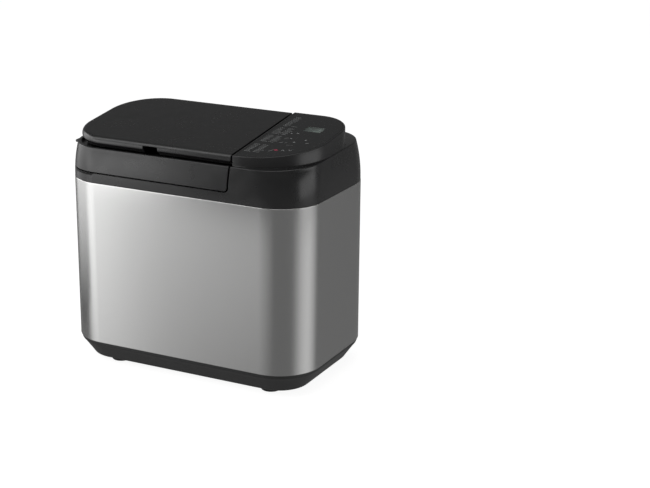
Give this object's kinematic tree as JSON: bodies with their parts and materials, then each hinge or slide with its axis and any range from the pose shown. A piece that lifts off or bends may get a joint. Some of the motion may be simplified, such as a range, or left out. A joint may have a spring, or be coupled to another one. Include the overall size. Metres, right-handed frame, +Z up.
{
  "type": "bread machine",
  "caption": "Countertop bread machine with a hinged lid, removable kneading pan and blade, belt drive, oven with heater, dispensers and a sloping key panel.",
  "frame": {"origin": "centre of the machine's box, on the surface it stands on", "axes": "+X to the control panel's side, +Y to the back, +Z up; the front faces -Y"},
  "size_m": [0.41, 0.25, 0.3804],
  "materials": {
    "stainless": "fine vertical satin grain",
    "black_plastic": "satin moulded plastic",
    "gloss_black": "smooth, low gloss",
    "panel_film": "printed film over the keys",
    "rubber": "matt rubber",
    "clear_lens": "clear window",
    "display": "liquid crystal display",
    "circuit_board": "green solder mask",
    "key_plastic": "moulded key cap",
    "oven_metal": "satin aluminised sheet",
    "heater_metal": "heat-darkened sheath",
    "zinc_steel": "bright plated steel",
    "die_cast": "as cast, lightly blasted",
    "bronze": "sintered bush",
    "belt_rubber": "ribbed rubber",
    "motor_steel": "zinc-plated can",
    "white_nylon": "natural nylon",
    "pan_coating": "silver-grey outside, dark non-stick inside",
    "blade_coating": "dark non-stick",
    "silicone": "soft silicone",
    "grey_plastic": "dark grey moulded plastic"
  },
  "bodies": {
    "housing": {"base_tray": "black_plastic", "foot_front_left": "rubber", "foot_front_right": "rubber", "foot_rear_left": "rubber", "foot_rear_right": "rubber", "body_wrap": "stainless", "rear_panel": "black_plastic", "cord_gland": "rubber", "upper_housing": "black_plastic", "panel_housing": "black_plastic", "panel_film": "panel_film", "lcd_window": "clear_lens", "lcd_module": "display", "control_board": "circuit_board", "oven_liner": "oven_metal", "heater_element": "heater_metal", "heater_clip_left": "zinc_steel", "heater_clip_right": "zinc_steel", "temperature_sensor": "zinc_steel", "pan_socket": "die_cast", "chassis_plate": "zinc_steel", "drive_bearing": "bronze", "drive_belt": "belt_rubber", "motor": "motor_steel", "power_board": "circuit_board", "side_heat_shield": "zinc_steel", "lid_hinge_pin_left": "zinc_steel", "lid_hinge_pin_right": "zinc_steel"},
    "drive": {"drive_shaft": "zinc_steel", "large_pulley": "white_nylon", "drive_coupling": "die_cast"},
    "motor_rotor": {"motor_shaft": "zinc_steel", "motor_pulley": "die_cast"},
    "pan": {"pan_shell": "pan_coating", "pan_base_ring": "die_cast", "pan_ear_left": "gloss_black", "pan_ear_right": "gloss_black", "pan_bearing": "bronze"},
    "pan_rotor": {"pan_spindle": "zinc_steel", "kneading_blade": "blade_coating"},
    "bail": {"bail_handle": "zinc_steel"},
    "lid": {"lid_shell": "black_plastic", "lid_heat_shield": "oven_metal", "lid_gasket": "silicone", "nut_box": "grey_plastic", "yeast_cup": "grey_plastic", "nut_solenoid": "motor_steel", "yeast_solenoid": "motor_steel", "dispenser_hinge_pin": "zinc_steel"},
    "cover": {"dispenser_lid": "gloss_black"},
    "nut_trap": {"nut_flap": "grey_plastic"},
    "yeast_trap": {"yeast_flap": "grey_plastic"},
    "button_start": {"key_start": "key_plastic"},
    "button_stop": {"key_stop": "key_plastic"},
    "button_up": {"key_up": "key_plastic"},
    "button_down": {"key_down": "key_plastic"},
    "button_crust": {"key_crust": "key_plastic"},
    "button_size": {"key_size": "key_plastic"}
  },
  "joints": [
    {"name": "lid_hinge", "type": "hinge", "parent": "housing", "child": "lid", "pos_m": [-0.063, 0.093, 0.342], "axis": [-1, 0, 0], "range_deg": [0, 95]},
    {"name": "dispenser_lid_hinge", "type": "hinge", "parent": "lid", "child": "cover", "pos_m": [-0.0365, 0.0725, 0.3565], "axis": [1, 0, 0], "range_deg": [-85, 0]},
    {"name": "nut_flap_hinge", "type": "hinge", "parent": "lid", "child": "nut_trap", "pos_m": [-0.063, 0.0555, 0.3344], "axis": [1, 0, 0], "range_deg": [0, 70]},
    {"name": "yeast_flap_hinge", "type": "hinge", "parent": "lid", "child": "yeast_trap", "pos_m": [0.019, -0.0275, 0.3344], "axis": [1, 0, 0], "range_deg": [0, 60]},
    {"name": "pan_turn", "type": "hinge", "parent": "housing", "child": "pan", "pos_m": [-0.063, -0.014, 0.0775], "axis": [0, 0, 1], "range_deg": [0, 10]},
    {"name": "bail_swing", "type": "hinge", "parent": "pan", "child": "bail", "pos_m": [-0.063, -0.014, 0.244], "axis": [-1, 0, 0], "range_deg": [0, 110]},
    {"name": "drive_spin", "type": "hinge", "parent": "housing", "child": "drive", "pos_m": [-0.063, -0.014, 0.056], "axis": [0, 0, 1], "continuous": true},
    {"name": "blade_spin", "type": "hinge", "parent": "pan", "child": "pan_rotor", "pos_m": [-0.063, -0.014, 0.096], "axis": [0, 0, 1], "continuous": true},
    {"name": "motor_spin", "type": "hinge", "parent": "housing", "child": "motor_rotor", "pos_m": [0.123, -0.014, 0.046], "axis": [0, 0, 1], "continuous": true},
    {"name": "key_start_press", "type": "slide", "parent": "housing", "child": "button_start", "axis": [0, 0.1328, -0.9911], "range_m": [0, 0.0005], "stiffness_N_per_m": 300},
    {"name": "key_stop_press", "type": "slide", "parent": "housing", "child": "button_stop", "axis": [0, 0.1328, -0.9911], "range_m": [0, 0.0005], "stiffness_N_per_m": 300},
    {"name": "key_up_press", "type": "slide", "parent": "housing", "child": "button_up", "axis": [0, 0.1328, -0.9911], "range_m": [0, 0.0005], "stiffness_N_per_m": 300},
    {"name": "key_down_press", "type": "slide", "parent": "housing", "child": "button_down", "axis": [0, 0.1328, -0.9911], "range_m": [0, 0.0005], "stiffness_N_per_m": 300},
    {"name": "key_crust_press", "type": "slide", "parent": "housing", "child": "button_crust", "axis": [0, 0.1328, -0.9911], "range_m": [0, 0.0005], "stiffness_N_per_m": 300},
    {"name": "key_size_press", "type": "slide", "parent": "housing", "child": "button_size", "axis": [0, 0.1328, -0.9911], "range_m": [0, 0.0005], "stiffness_N_per_m": 300}
  ],
  "couplings": [
    {"joint": "blade_spin", "follows": "drive_spin", "ratio": 1},
    {"joint": "motor_spin", "follows": "drive_spin", "ratio": 3.68}
  ]
}
